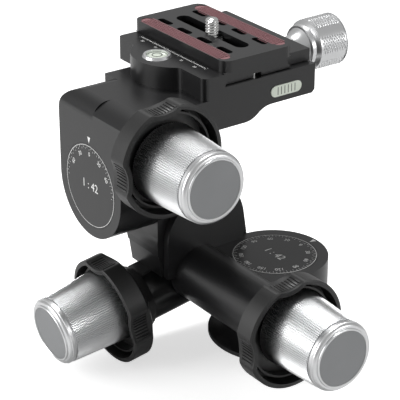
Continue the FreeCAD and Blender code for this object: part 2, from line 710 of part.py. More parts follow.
# Moving jaw with its screw, guide pins and knob
jaw_left_x = plate_middle_x - jaw_length / 2
jaw_right_x = plate_middle_x + jaw_length / 2
right_side = side_wedge(1, 0.0)
jaw_section = [(y, z + seat_play if z == channel_floor_z else z) for y, z in right_side]
jaw_section = jaw_section + [(right_side[-1][0], clamp_top_z), (jaw_back_y, clamp_top_z),
                             (jaw_back_y, channel_floor_z + seat_play)]
jaw = prism(jaw_section, jaw_left_x, jaw_right_x)
screw_z = clamp_knob_z
lug_left_x = clamp_knob_x - jaw_lug_width / 2
lug_right_x = clamp_knob_x + jaw_lug_width / 2
lug_front_y = jaw_back_y - jaw_lug_depth
jaw_lug = box((lug_left_x, lug_front_y, clamp_low_z + jaw_lug_lift), (lug_right_x, jaw_back_y, clamp_top_z - 2))
jaw = jaw.fuse(jaw_lug).removeSplitter()
lug_room = box((lug_left_x - seat_play, lug_front_y - seat_play, clamp_low_z + jaw_lug_lift - seat_play),
               (lug_right_x + seat_play, arm_back_y + 1, clamp_top_z + 1))
clamp = clamp.cut(lug_room)
screw_tip_y = jaw_back_y - clamp_screw_length
clamp = clamp.cut(cylinder(clamp_screw_radius + running_play, screw_tip_y - 1, arm_back_y + 1, "y",
                           (clamp_knob_x, screw_z)))
jaw = jaw.cut(cylinder(clamp_screw_radius + running_play, screw_tip_y - 1, arm_back_y + 9, "y",
                       (clamp_knob_x, screw_z)))
neck_start_y = jaw_back_y + running_play
cone_start_y = neck_start_y + clamp_neck_length
barrel_start_y = cone_start_y + clamp_cone_length
barrel_end_y = barrel_start_y + clamp_barrel_length
clamp_knob = turned([(neck_start_y, 0), (neck_start_y, clamp_neck_radius), (cone_start_y, clamp_neck_radius),
                     (cone_start_y + clamp_cone_length * 0.6, clamp_cone_radius - 1.4),
                     (cone_start_y + clamp_cone_length * 0.6, clamp_cone_radius - 0.5),
                     (barrel_start_y - 2.4, clamp_cone_radius),
                     (barrel_start_y - 1.4, clamp_cone_radius), (barrel_start_y, clamp_barrel_radius),
                     (barrel_end_y - clamp_barrel_edge, clamp_barrel_radius),
                     (barrel_end_y, clamp_barrel_radius - clamp_barrel_edge), (barrel_end_y, 0)],
                    "y", (clamp_knob_x, screw_z))
screw_seat_y = barrel_start_y
clamp_knob = clamp_knob.cut(cylinder(clamp_screw_radius, neck_start_y - 1, screw_seat_y, "y",
                                     (clamp_knob_x, screw_z)))
put("clamp_knob", clamp_knob)
put("clamp_screw", cylinder(clamp_screw_radius, screw_tip_y, screw_seat_y, "y", (clamp_knob_x, screw_z)))

# Stop pin that keeps the plate from sliding out
stop_x = clamp_right_x - stop_pin_inset
stop_low_z = channel_floor_z - 3
clamp = clamp.cut(cylinder(stop_pin_radius, stop_low_z, clamp_top_z, "z", (stop_x, plate_middle_y)))
stop_pin = cylinder(stop_pin_radius, stop_low_z, channel_floor_z + stop_pin_rise, "z", (stop_x, plate_middle_y))
put("stop_pin", stop_pin)

# Round level in the lobe
bubble_y = plate_front_y - bubble_y_inset
bubble_at = (lobe_x, bubble_y)
bubble_low_z = clamp_top_z - bubble_depth
clamp = clamp.cut(cylinder(bubble_ring_radius - 0.6, bubble_low_z, clamp_top_z + 1, "z", bubble_at))
ring = cylinder(bubble_ring_radius - 0.6, bubble_low_z, clamp_top_z, "z", bubble_at)
rise = turned([(clamp_top_z, 0), (clamp_top_z, bubble_ring_radius),
               (clamp_top_z + bubble_ring_rise, bubble_ring_radius - 0.6), (clamp_top_z + bubble_ring_rise, 0)],
              "z", bubble_at)
ring = ring.fuse(rise).cut(cylinder(bubble_lens_radius, bubble_low_z + 1, clamp_top_z + 3, "z", bubble_at))
put("round_level_ring", ring)
put("round_level_glass", cylinder(bubble_lens_radius, bubble_low_z + 1, clamp_top_z + bubble_ring_rise * 0.6,
                                  "z", bubble_at))

# Tube level let into the arm's end face
vial_half = vial_length / 2 - vial_radius
vial_low_x = arm_right_x - vial_reach


def vial_solid(radius, low_x, high_x):
    """Round-ended bar along Y."""
    body = box((low_x, vial_y - vial_half, vial_z - radius), (high_x, vial_y + vial_half, vial_z + radius))
    for end in (-vial_half, vial_half):
        body = body.fuse(cylinder(radius, low_x, high_x, "x", (vial_y + end, vial_z)))
    return body.removeSplitter()


level_body = level_body.cut(vial_solid(vial_radius, vial_low_x, arm_right_x + 1))
put("tube_level", vial_solid(vial_radius, vial_low_x, arm_right_x + vial_proud))
put("level_housing", level_body)

# Guide pins stand in the clamp base and run in the jaw
pins = []
for side in (-1, 1):
    pin_at = (clamp_knob_x + side * jaw_pin_spacing / 2, screw_z)
    pins.append(cylinder(jaw_pin_radius, jaw_back_y - jaw_pin_length, jaw_back_y - 2, "y", pin_at))
    jaw = jaw.cut(cylinder(jaw_pin_radius + running_play, lug_front_y - 1, jaw_back_y - 2 + seat_play, "y", pin_at))
    clamp = clamp.cut(cylinder(jaw_pin_radius, jaw_back_y - jaw_pin_length, lug_front_y, "y", pin_at))
put("moving_jaw", jaw)
put("clamp_base", clamp)

# Quick-release plate with slots, rubber strips and the camera screw
slab = box((plate_left_x, plate_front_y, plate_top_z - plate_slab), (plate_right_x, plate_back_y, plate_top_z))
upright_edges = [edge for edge in slab.Edges if abs(edge.Vertexes[0].Z - edge.Vertexes[1].Z) > 1]
slab = slab.makeFillet(plate_corner, upright_edges)
section = []
for sign in (-1, 1):
    section.append([(plate_middle_y + sign * half_foot, plate_bottom_z), (plate_middle_y + sign * half_foot, lip_low),
                    (plate_middle_y + sign * half_neck, lip_high), (plate_middle_y + sign * half_neck, neck_high),
                    (plate_middle_y + sign * (half_neck + dovetail_lip), neck_high + dovetail_lip)])
rail_points = section[0] + section[1][::-1]
rail = prism(rail_points, plate_left_x + 1.5, plate_right_x - 1.5)
plate = slab.fuse(rail)
plate_at = (plate_middle_x, plate_middle_y)
screw_floor_z = plate_top_z - 2.6
plate = plate.cut(slot(screw_slot_length, screw_slot_width, plate_bottom_z - 1, plate_top_z + 1, plate_at))
plate = plate.cut(slot(screw_slot_length + 6, camera_screw_head_radius * 2 + 1.2, plate_bottom_z - 1,
                       screw_floor_z, plate_at))
for row in (-1, 1):
    for place in (-1.5, -0.5, 0.5, 1.5):
        at = (plate_middle_x + place * small_slot_spacing, plate_middle_y + row * small_slot_row)
        plate = plate.cut(slot(small_slot_length, small_slot_width, plate_bottom_z - 1, plate_top_z + 1, at))
strips = []
for row in (-1, 1):
    strip = slot(plate_length - 2 * rubber_margin, rubber_width, plate_top_z - rubber_depth, plate_top_z + 1,
                 (plate_middle_x, plate_middle_y + row * rubber_row))
    plate = plate.cut(strip)
    strips.append(slot(plate_length - 2 * rubber_margin, rubber_width, plate_top_z - rubber_depth, plate_top_z,
                       (plate_middle_x, plate_middle_y + row * rubber_row)))
stop_slot = slot(stop_slot_length, 2 * stop_pin_radius + 0.8, plate_bottom_z - 1,
                 channel_floor_z + stop_pin_rise + 0.3, (stop_x, plate_middle_y))
plate = plate.cut(stop_slot)
put("plate", plate.removeSplitter())
put("plate_rubber_strips", Part.makeCompound(strips))
camera_at = (plate_middle_x + camera_screw_x, plate_middle_y)
head_top_z = screw_floor_z - running_play
neck_top_z = plate_top_z + camera_neck_rise
camera_screw = cylinder(camera_screw_radius, neck_top_z, plate_top_z + camera_screw_rise, "z", camera_at)
camera_screw = camera_screw.fuse(cylinder(camera_neck_radius, head_top_z - 1, neck_top_z, "z", camera_at))
head = cylinder(camera_screw_head_radius, head_top_z - camera_screw_head, head_top_z, "z", camera_at)
camera_screw = camera_screw.fuse(head).removeSplitter()
put("camera_screw", camera_screw)
put("jaw_guide_pins", Part.makeCompound(pins))

for name in sorted(parts):
    shape = parts[name]
    solids = shape.Solids
    good = shape.isValid() and all(solid.Volume > 0 for solid in solids)
    print(f"{name:24s} solids {len(solids)} volume {shape.Volume:9.1f} valid {good}")
    result = solids[0] if len(solids) == 1 else Part.makeCompound(solids)
    result.exportStep("parts/" + name + ".step")
print(len(parts), "nodes")
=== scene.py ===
import bpy
import bmesh
import json
import math
from mathutils import Matrix, Vector

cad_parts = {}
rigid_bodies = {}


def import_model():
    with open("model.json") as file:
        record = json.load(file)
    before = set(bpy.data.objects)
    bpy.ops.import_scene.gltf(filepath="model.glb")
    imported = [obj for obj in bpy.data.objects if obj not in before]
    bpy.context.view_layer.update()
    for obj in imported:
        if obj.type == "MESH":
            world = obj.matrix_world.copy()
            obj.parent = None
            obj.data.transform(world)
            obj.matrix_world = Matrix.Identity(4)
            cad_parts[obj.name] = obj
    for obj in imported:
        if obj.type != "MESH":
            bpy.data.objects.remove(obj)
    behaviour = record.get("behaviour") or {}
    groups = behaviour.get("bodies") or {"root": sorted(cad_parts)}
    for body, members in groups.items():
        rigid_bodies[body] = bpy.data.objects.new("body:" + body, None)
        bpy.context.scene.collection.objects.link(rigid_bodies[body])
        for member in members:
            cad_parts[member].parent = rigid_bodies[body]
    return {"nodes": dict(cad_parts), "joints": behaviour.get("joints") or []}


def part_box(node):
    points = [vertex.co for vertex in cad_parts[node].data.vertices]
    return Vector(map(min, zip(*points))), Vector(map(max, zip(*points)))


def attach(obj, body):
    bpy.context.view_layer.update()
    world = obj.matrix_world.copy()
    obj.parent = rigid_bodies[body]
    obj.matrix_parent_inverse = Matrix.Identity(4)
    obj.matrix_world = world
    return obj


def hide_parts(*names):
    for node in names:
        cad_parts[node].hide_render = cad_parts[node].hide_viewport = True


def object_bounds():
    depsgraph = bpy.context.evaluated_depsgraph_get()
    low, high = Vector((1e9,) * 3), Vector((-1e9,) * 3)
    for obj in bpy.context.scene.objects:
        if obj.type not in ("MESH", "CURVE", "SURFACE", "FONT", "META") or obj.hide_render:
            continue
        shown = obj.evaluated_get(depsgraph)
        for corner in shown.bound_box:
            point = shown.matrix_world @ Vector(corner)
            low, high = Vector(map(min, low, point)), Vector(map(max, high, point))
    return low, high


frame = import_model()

for spare in [o for o in bpy.data.objects if o.type in ("LIGHT", "CAMERA") or o.name == "Cube"]:
    bpy.data.objects.remove(spare)
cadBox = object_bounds()
joints = {joint["name"]: joint for joint in frame["joints"]}
mm = 0.001


# Finishes

finishes = {
    "black_anodised": {"colour": (0.0065, 0.0065, 0.007), "metallic": 0.0, "roughness": 0.30, "spread": 0.05,
                       "grain": 2200.0, "bump": 0.06, "coat": 0.0},
    "matte_black": {"colour": (0.009, 0.009, 0.009), "metallic": 0.0, "roughness": 0.44, "spread": 0.12,
                    "grain": 1600.0, "bump": 0.16, "coat": 0.0},
    "silver_aluminium": {"colour": (0.66, 0.665, 0.67), "metallic": 1.0, "roughness": 0.30, "spread": 0.06,
                         "grain": 2600.0, "bump": 0.02, "coat": 0.0},
    "face_grey": {"colour": (0.23, 0.235, 0.24), "metallic": 0.6, "roughness": 0.42, "spread": 0.08,
                  "grain": 3000.0, "bump": 0.06, "coat": 0.0},
    "steel": {"colour": (0.66, 0.66, 0.65), "metallic": 1.0, "roughness": 0.20, "spread": 0.08,
              "grain": 2000.0, "bump": 0.03, "coat": 0.0},
    "bronze": {"colour": (0.50, 0.31, 0.13), "metallic": 1.0, "roughness": 0.34, "spread": 0.10,
               "grain": 1800.0, "bump": 0.05, "coat": 0.0},
    "washer_plastic": {"colour": (0.55, 0.56, 0.56), "metallic": 0.0, "roughness": 0.48, "spread": 0.08,
                       "grain": 1500.0, "bump": 0.05, "coat": 0.0},
    "plate_rubber": {"colour": (0.235, 0.105, 0.115), "metallic": 0.0, "roughness": 0.72, "spread": 0.12,
                     "grain": 1400.0, "bump": 0.25, "coat": 0.0},
    "level_glass": {"colour": (0.70, 0.76, 0.66), "metallic": 0.0, "roughness": 0.08, "spread": 0.03,
                    "grain": 500.0, "bump": 0.01, "coat": 0.7},
    "white_print": {"colour": (0.78, 0.78, 0.77), "metallic": 0.0, "roughness": 0.55, "spread": 0.08,
                    "grain": 2500.0, "bump": 0.05, "coat": 0.0},
    "dark_line": {"colour": (0.03, 0.03, 0.03), "metallic": 0.0, "roughness": 0.50, "spread": 0.08,
                  "grain": 2500.0, "bump": 0.03, "coat": 0.0},
}

surfaceLook = {"detail": 3.0, "bumpDepth": 0.05, "cloudScale": 60.0, "darker": 0.93, "lighter": 1.07,
               "coatRoughness": 0.25}


def makeFinish(name, values):
    material = bpy.data.materials.new(name + "_finish")
    material.use_nodes = True
    nodes, links = material.node_tree.nodes, material.node_tree.links
    shader = nodes["Principled BSDF"]
    shader.inputs["Metallic"].default_value = values["metallic"]
    shader.inputs["Coat Weight"].default_value = values["coat"]
    shader.inputs["Coat Roughness"].default_value = surfaceLook["coatRoughness"]
    coordinates = nodes.new("ShaderNodeTexCoord")
    grain = nodes.new("ShaderNodeTexNoise")
    grain.inputs["Scale"].default_value = values["grain"]
    grain.inputs["Detail"].default_value = surfaceLook["detail"]
    links.new(coordinates.outputs["Object"], grain.inputs["Vector"])
    gloss = nodes.new("ShaderNodeMapRange")
    gloss.inputs["To Min"].default_value = values["roughness"] - values["spread"]
    gloss.inputs["To Max"].default_value = values["roughness"] + values["spread"]
    links.new(grain.outputs["Fac"], gloss.inputs["Value"])
    links.new(gloss.outputs["Result"], shader.inputs["Roughness"])
    bump = nodes.new("ShaderNodeBump")
    bump.inputs["Strength"].default_value = values["bump"]
    bump.inputs["Distance"].default_value = surfaceLook["bumpDepth"] * mm
    links.new(grain.outputs["Fac"], bump.inputs["Height"])
    links.new(bump.outputs["Normal"], shader.inputs["Normal"])
    cloud = nodes.new("ShaderNodeTexNoise")
    cloud.inputs["Scale"].default_value = surfaceLook["cloudScale"]
    links.new(coordinates.outputs["Object"], cloud.inputs["Vector"])
    tone = nodes.new("ShaderNodeMix")
    tone.data_type = "RGBA"
    for letter, share in (("A", surfaceLook["darker"]), ("B", surfaceLook["lighter"])):
        tone.inputs[letter].default_value = [channel * share for channel in values["colour"]] + [1.0]
    links.new(cloud.outputs["Fac"], tone.inputs["Factor"])
    links.new(tone.outputs["Result"], shader.inputs["Base Color"])
    return material


paints = {name: makeFinish(name, values) for name, values in finishes.items()}
for node in frame["nodes"].values():
    for materialSlot in node.material_slots:
        plainName = materialSlot.material.name.split(".")[0]
        if plainName in paints:
            materialSlot.material = paints[plainName]
print("finishes made:", len(paints))


# Geometry Nodes trees: copies turned about X, and copies in rows on the XY plane

def newTree(name, numbers):
    tree = bpy.data.node_groups.new(name, "GeometryNodeTree")
    tree.interface.new_socket("Base", in_out="INPUT", socket_type="NodeSocketGeometry")
    tree.interface.new_socket("Item", in_out="INPUT", socket_type="NodeSocketObject")
    for label, kind in numbers:
        tree.interface.new_socket(label, in_out="INPUT", socket_type=kind)
    tree.interface.new_socket("Finish", in_out="INPUT", socket_type="NodeSocketMaterial")
    tree.interface.new_socket("Result", in_out="OUTPUT", socket_type="NodeSocketGeometry")
    nodes, links = tree.nodes, tree.links
    source, sink = nodes.new("NodeGroupInput"), nodes.new("NodeGroupOutput")
    item = nodes.new("GeometryNodeObjectInfo")
    item.inputs["As Instance"].default_value = True
    copies = nodes.new("GeometryNodeInstanceOnPoints")
    realize = nodes.new("GeometryNodeRealizeInstances")
    join = nodes.new("GeometryNodeJoinGeometry")
    paint = nodes.new("GeometryNodeSetMaterial")
    links.new(source.outputs["Item"], item.inputs["Object"])
    links.new(item.outputs["Geometry"], copies.inputs["Instance"])
    links.new(source.outputs["Base"], join.inputs["Geometry"])
    links.new(copies.outputs["Instances"], join.inputs["Geometry"])
    links.new(join.outputs["Geometry"], realize.inputs["Geometry"])
    links.new(realize.outputs["Geometry"], paint.inputs["Geometry"])
    links.new(source.outputs["Finish"], paint.inputs["Material"])
    links.new(paint.outputs["Geometry"], sink.inputs["Result"])
    return tree, nodes, links, source, copies


def calculation(nodes, links, operation, first, second):
    step = nodes.new("ShaderNodeMath")
    step.operation = operation
    for socket, value in zip(step.inputs, (first, second)):
        if isinstance(value, (int, float)):
            socket.default_value = value
        else:
            links.new(value, socket)
    return step.outputs["Value"]


def makeRingTree():
    numbers = [("Count", "NodeSocketInt"), ("Step", "NodeSocketFloat"), ("Start", "NodeSocketFloat")]
    tree, nodes, links, source, copies = newTree("copiesAboutX", numbers)
    points = nodes.new("GeometryNodePoints")
    links.new(source.outputs["Count"], points.inputs["Count"])
    index = nodes.new("GeometryNodeInputIndex")
    turn = calculation(nodes, links, "MULTIPLY", index.outputs["Index"], source.outputs["Step"])
    turn = calculation(nodes, links, "ADD", turn, source.outputs["Start"])
    angles = nodes.new("ShaderNodeCombineXYZ")
    links.new(turn, angles.inputs["X"])
    links.new(points.outputs["Points"], copies.inputs["Points"])
    links.new(angles.outputs["Vector"], copies.inputs["Rotation"])
    return tree


def makeRowTree():
    numbers = [("CountX", "NodeSocketInt"), ("CountY", "NodeSocketInt"),
               ("PitchX", "NodeSocketFloat"), ("PitchY", "NodeSocketFloat")]
    tree, nodes, links, source, copies = newTree("copiesInRows", numbers)
    grid = nodes.new("GeometryNodeMeshGrid")
    for letter in ("X", "Y"):
        gaps = calculation(nodes, links, "SUBTRACT", source.outputs["Count" + letter], 1.0)
        size = calculation(nodes, links, "MULTIPLY", gaps, source.outputs["Pitch" + letter])
        links.new(size, grid.inputs["Size " + letter])
        links.new(source.outputs["Count" + letter], grid.inputs["Vertices " + letter])
    links.new(grid.outputs["Mesh"], copies.inputs["Points"])
    return tree


ringTree = makeRingTree()
rowTree = makeRowTree()


def copied(tree, baseMesh, itemMesh, values, finish):
    base = bpy.data.objects.new("base", baseMesh or bpy.data.meshes.new("empty"))
    item = bpy.data.objects.new("item", itemMesh)
    for part in (base, item):
        bpy.context.scene.collection.objects.link(part)
    modifier = base.modifiers.new("copies", "NODES")
    modifier.node_group = tree
    settings = dict(values, Item=item, Finish=paints[finish])
    for socket in tree.interface.items_tree:
        if socket.in_out == "INPUT" and socket.name in settings:
            modifier[socket.identifier] = settings[socket.name]
    graph = bpy.context.evaluated_depsgraph_get()
    mesh = bpy.data.meshes.new_from_object(base.evaluated_get(graph), depsgraph=graph)
    for part in (base, item):
        bpy.data.objects.remove(part)
    return mesh


# Mesh helpers

def meshFrom(vertices, faces):
    mesh = bpy.data.meshes.new("shape")
    mesh.from_pydata([tuple(v) for v in vertices], [], faces)
    return mesh


# Closed skin about X from (position, radius) rows; ripple changes a row's radius with the angle
def spun(profile, steps, ripple=None):
    vertices, rings = [], []
    for row, (along, radius) in enumerate(profile):
        if radius == 0:
            rings.append([len(vertices)] * steps)
            vertices.append((along, 0, 0))
            continue
        rings.append(list(range(len(vertices), len(vertices) + steps)))
        for k in range(steps):
            angle = 2 * math.pi * k / steps
            reach = radius + (ripple(row, along, angle) if ripple else 0)
            vertices.append((along, reach * math.cos(angle), reach * math.sin(angle)))
    faces = []
    for low, high in zip(rings, rings[1:]):
        for k in range(steps):
            corners = [low[k], low[(k + 1) % steps], high[(k + 1) % steps], high[k]]
            face = list(dict.fromkeys(corners))
            if len(face) > 2:
                faces.append(face)
    return meshFrom(vertices, faces)


# Side faces between two outlines of equal count, the second stored after the first
def bandFaces(count):
    return [[k, (k + 1) % count, (k + 1) % count + count, k + count] for k in range(count)]


# Closed prism along Z from an XY outline
def prismBetween(outline, low, high):
    count = len(outline)
    vertices = [(x, y, low) for x, y in outline] + [(x, y, high) for x, y in outline]
    caps = [list(range(count))[::-1], list(range(count, 2 * count))]
    return meshFrom(vertices, caps + bandFaces(count))


def plainBox(low, high):
    outline = [(low[0], low[1]), (high[0], low[1]), (high[0], high[1]), (low[0], high[1])]
    return prismBetween(outline, low[2], high[2])


def slotOutline(length, width, centre, steps=14):
    radius = width / 2
    points = []
    for side in (1, -1):
        for k in range(steps + 1):
            angle = -math.pi / 2 + math.pi * k / steps
            points.append((centre[0] + side * (length / 2 - radius + radius * math.cos(angle)),
                           centre[1] + side * radius * math.sin(angle)))
    return points


# Flat ring about X
def ringBand(inner, outer, low, high, steps):
    profile = [(low, inner), (low, outer), (high, outer), (high, inner), (low, inner)]
    return spun(profile, steps)


def joined(meshes):
    shape = bmesh.new()
    for mesh in meshes:
        shape.from_mesh(mesh)
    result = bpy.data.meshes.new("joined")
    shape.to_mesh(result)
    shape.free()
    return result


def lettering(text, size, thickness):
    curve = bpy.data.curves.new("text", "FONT")
    curve.body = text
    curve.size = size
    curve.extrude = thickness
    curve.align_x = "CENTER"
    curve.align_y = "CENTER"
    curve.resolution_u = 3
    holder = bpy.data.objects.new("text", curve)
    bpy.context.scene.collection.objects.link(holder)
    graph = bpy.context.evaluated_depsgraph_get()
    mesh = bpy.data.meshes.new_from_object(holder.evaluated_get(graph), depsgraph=graph)
    bpy.data.objects.remove(holder)
    return mesh


# Text standing on a face whose normal is X, at a radius and an angle from Y
def numberMesh(text, size, thickness, radius, angle):
    letters = lettering(text, size, thickness)
    outward = Vector((0, math.cos(angle), math.sin(angle)))
    normal = Vector((1, 0, 0))
    turn = Matrix((outward.cross(normal), outward, normal)).transposed().to_4x4()
    turn.translation = outward * radius
    letters.transform(turn)
    return letters


def frameMatrix(origin, xAxis, yAxis):
    xAxis, yAxis = Vector(xAxis).normalized(), Vector(yAxis).normalized()
    zAxis = xAxis.cross(yAxis)
    matrix = Matrix((xAxis, yAxis, zAxis)).transposed().to_4x4()
    matrix.translation = Vector(origin)
    return matrix


mergeDistance = 0.0001 * mm
sharpAngle = math.radians(32)


def placePiece(name, mesh, matrix, body, finish, nodes=()):
    mesh.transform(matrix)
    shape = bmesh.new()
    shape.from_mesh(mesh)
    bmesh.ops.remove_doubles(shape, verts=shape.verts, dist=mergeDistance)
    bmesh.ops.recalc_face_normals(shape, faces=shape.faces)
    shape.to_mesh(mesh)
    shape.free()
    mesh.materials.clear()
    mesh.materials.append(paints[finish])
    for face in mesh.polygons:
        face.material_index = 0
        face.use_smooth = True
    mesh.set_sharp_from_angle(angle=sharpAngle)
    piece = bpy.data.objects.new(name, mesh)
    bpy.context.scene.collection.objects.link(piece)
    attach(piece, body)
    if nodes:
        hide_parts(*nodes)
    return piece


# Frames of the worm drives, from the joints: X along the knob, Y across towards the stage's axis

def driveLine(stage, jointEnding):
    turn, knob = joints[stage + "_turn"], joints[stage + "_knob_turn"]
    along = Vector(knob["axis"]).normalized()
    stageAxis = Vector(turn["axis"]).normalized()
    across = Vector(turn["pos_m"]) - Vector(knob["pos_m"])
    across -= along * across.dot(along) + stageAxis * across.dot(stageAxis)
    return frameMatrix(joints[stage + jointEnding]["pos_m"], along, across)


# Lowest and highest place along the frame's X, and the largest radius, of a CAD node
def reachOf(node, matrix):
    back = matrix.inverted()
    points = [back @ vertex.co for vertex in frame["nodes"][node].data.vertices]
    along = [point.x for point in points]
    return min(along), max(along), max(math.hypot(point.y, point.z) for point in points)


# Knobs: fine straight knurl, groove and stepped cap ring
# capSteps are behind the front and below the cap's radius; faceSteps are behind the front, then the radius

knobLook = {"ridges": 104, "ridgeHeight": 0.55, "ridgeWidth": 0.66, "ridgeSink": 0.05, "ridgeStart": 0.9,
            "shoulderHeight": 0.7, "shoulderWidth": 0.55, "backEdge": 0.6, "grooveWidth": 0.6,
            "grooveDepth": 0.4, "capLength": 4.6, "taper": 0.903, "capEdge": 0.25, "capInset": 0.2,
            "steps": 96,
            "capSteps": [(2.3, 0.2), (2.1, 0.5), (1.5, 0.6), (0.9, 1.1), (0.7, 1.7)],
            "faceSteps": [(0.7, 13.6), (0.2, 13.5), (0, 13.25), (0, 12.8), (0.2, 12.6), (1.8, 12.6),
                          (1.8, 0)]}

for stage in ("pan", "tilt", "level"):
    knobLine = driveLine(stage, "_knob_turn")
    back, front, widest = reachOf(stage + "_knob", knobLine)
    ridge = knobLook["ridgeHeight"] * mm
    capStart = front - knobLook["capLength"] * mm
    capRadius = widest * knobLook["taper"]
    core, coreFront = widest - ridge, capRadius - ridge
    backEdge, capEdge = knobLook["backEdge"] * mm, knobLook["capEdge"] * mm
    grooveEnd = capStart + knobLook["grooveWidth"] * mm
    grooveFloor = coreFront - knobLook["grooveDepth"] * mm
    capSide = capRadius - knobLook["capInset"] * mm
    profile = [(back, 0), (back, core - backEdge), (back + backEdge, core), (capStart, coreFront),
               (capStart, grooveFloor), (grooveEnd, grooveFloor), (grooveEnd, capSide - capEdge),
               (grooveEnd + capEdge, capSide)]
    profile += [(front - behind * mm, capRadius - below * mm) for behind, below in knobLook["capSteps"]]
    profile += [(front - behind * mm, radius * mm) for behind, radius in knobLook["faceSteps"]]
    half = math.pi * widest / knobLook["ridges"] * knobLook["ridgeWidth"]
    shoulder, shoulderHalf = ridge * knobLook["shoulderHeight"], half * knobLook["shoulderWidth"]
    sunk = -knobLook["ridgeSink"] * mm
    section = [(sunk, -half), (shoulder, -shoulderHalf), (ridge, 0), (shoulder, shoulderHalf), (sunk, half)]
    corners = []
    for along, radius in ((back + knobLook["ridgeStart"] * mm, core), (capStart, coreFront)):
        corners += [(along, radius + height, side) for height, side in section]
    count = len(section)
    ridgeFaces = [list(range(count))[::-1], list(range(count, 2 * count))] + bandFaces(count)
    turns = {"Count": knobLook["ridges"], "Step": 2 * math.pi / knobLook["ridges"], "Start": 0.0}
    mesh = copied(ringTree, spun(profile, knobLook["steps"]), meshFrom(corners, ridgeFaces), turns,
                  "silver_aluminium")
    placePiece(stage + "KnurledKnob", mesh, knobLine, stage + "_drive", "silver_aluminium",
               [stage + "_knob"])
print("knobs made")


# Release collars: ribs for the fingers in both scallops

ribLook = {"count": 8, "stepDegrees": 5.8, "radius": 0.50, "scallopRadius": 15.0, "scallopDepth": 2.8,
           "length": 7.2, "endGap": 1.1, "sink": 0.3, "shoulder": 0.2, "crest": 0.8, "crestWidth": 0.6}
scallops = {"pan": (97, 186), "tilt": (5, 272), "level": (187, 276)}  # degrees about the tube

for stage, angles in scallops.items():
    tubeLine = driveLine(stage, "_release_turn")
    low, high, widest = reachOf(stage + "_release_collar", tubeLine)
    radius = ribLook["radius"] * mm
    crestHalf = radius * ribLook["crestWidth"]
    bow = ribLook["scallopRadius"] * mm
    centreReach = widest + bow - ribLook["scallopDepth"] * mm
    ribEnd = high - ribLook["endGap"] * mm
    ribStart = ribEnd - ribLook["length"] * mm
    sunk = bow + ribLook["sink"] * radius
    shoulder = bow - ribLook["shoulder"] * radius
    crest = bow - ribLook["crest"] * radius
    rim = [(ribStart, sunk, radius), (ribStart, shoulder, radius), (ribStart + radius, crest, crestHalf),
           (ribEnd - radius, crest, crestHalf), (ribEnd, shoulder, radius), (ribEnd, sunk, radius)]
    corners = [(x, y, side * half) for side in (-1, 1) for x, y, half in rim]
    count = len(rim)
    faces = [list(range(count)), list(range(count, 2 * count))[::-1]] + bandFaces(count)
    step = math.radians(ribLook["stepDegrees"])
    ribs = []
    for angle in angles:
        start = math.radians(angle + 180) - step * (ribLook["count"] - 1) / 2
        rows = copied(ringTree, None, meshFrom(corners, faces),
                      {"Count": ribLook["count"], "Step": step, "Start": start}, "matte_black")
        outward = Vector((0, math.cos(math.radians(angle)), math.sin(math.radians(angle))))
        rows.transform(Matrix.Translation(outward * centreReach))
        ribs.append(rows)
    placePiece(stage + "CollarRibs", joined(ribs), tubeLine, stage + "_release", "matte_black",
               ())
print("collar ribs made")


# Dials: thin raised ring, ticks and plain numbers, with a pointer on the housing beside them

dialLook = {"ring": 18.95, "ringWidth": 0.22, "ringSteps": 120, "tickDegrees": 5, "tickOut": 18.6,
            "shortTick": 1.0, "longTick": 1.7, "tickWidth": 0.16, "numberRadius": 15.0, "numberSize": 2.8,
            "middleSize": 5.6, "height": 0.03, "pointerRadius": 20.3, "pointerLength": 2.9,
            "pointerWidth": 2.3}
dials = {
    "pan": {"carrier": "foot", "housing": "pan_body", "normal": (0, 0, 1), "zero": (0, 1, 0),
            "ticks": 72, "numbers": range(-150, 181, 30), "middle": "1 : 42"},
    "tilt": {"carrier": "pan_body", "housing": "tilt_body", "normal": (-1, 0, 0), "zero": (0, 0, 1),
             "ticks": 37, "numbers": range(-60, 61, 30), "middle": ""},
    "level": {"carrier": "tilt_body", "housing": "level_body", "normal": (0, -1, 0), "zero": (0, 0, 1),
              "ticks": 37, "numbers": range(-60, 61, 30), "middle": "1 : 42"},
}

for stage, look in dials.items():
    low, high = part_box(stage + "_dial")
    normal = Vector(look["normal"])
    centre = (low + high) / 2
    faceReach = max(normal.dot(low), normal.dot(high))
    centre += normal * (faceReach - normal.dot(centre))
    flat = frameMatrix(centre, normal, look["zero"])
    top = dialLook["height"] * mm
    ring = dialLook["ring"] * mm
    marks = [ringBand(ring - dialLook["ringWidth"] * mm, ring, -top, top, dialLook["ringSteps"])]
    step = math.radians(dialLook["tickDegrees"])
    start = -step * (look["ticks"] // 2)
    outer = dialLook["tickOut"] * mm
    halfTick = dialLook["tickWidth"] * mm / 2
    longTicks = (look["ticks"] + 1) // 2
    for kind, count, gap in (("shortTick", look["ticks"], step), ("longTick", longTicks, 2 * step)):
        tick = plainBox((-top, outer - dialLook[kind] * mm, -halfTick), (top, outer, halfTick))
        turns = {"Count": count, "Step": gap, "Start": start}
        marks.append(copied(ringTree, None, tick, turns, "white_print"))
    for number in look["numbers"]:
        marks.append(numberMesh(str(abs(number)), dialLook["numberSize"] * mm, top,
                                dialLook["numberRadius"] * mm, math.radians(number)))
    if look["middle"]:
        marks.append(numberMesh(look["middle"], dialLook["middleSize"] * mm, top, 0.0, 0.0))
    placePiece(stage + "DialMarks", joined(marks), flat, look["carrier"], "white_print")
    tip = dialLook["pointerRadius"] * mm
    base = tip + dialLook["pointerLength"] * mm
    halfWidth = dialLook["pointerWidth"] * mm / 2
    pointer = prismBetween([(tip, 0), (base, halfWidth), (base, -halfWidth)], -top, top)
    pointer.transform(Matrix(((0, 0, 1), (1, 0, 0), (0, 1, 0))).to_4x4())
    placePiece(stage + "Pointer", pointer, flat, look["housing"], "white_print")
print("dials made")


# Quick-release plate: chequered rubber strips and a threaded camera screw

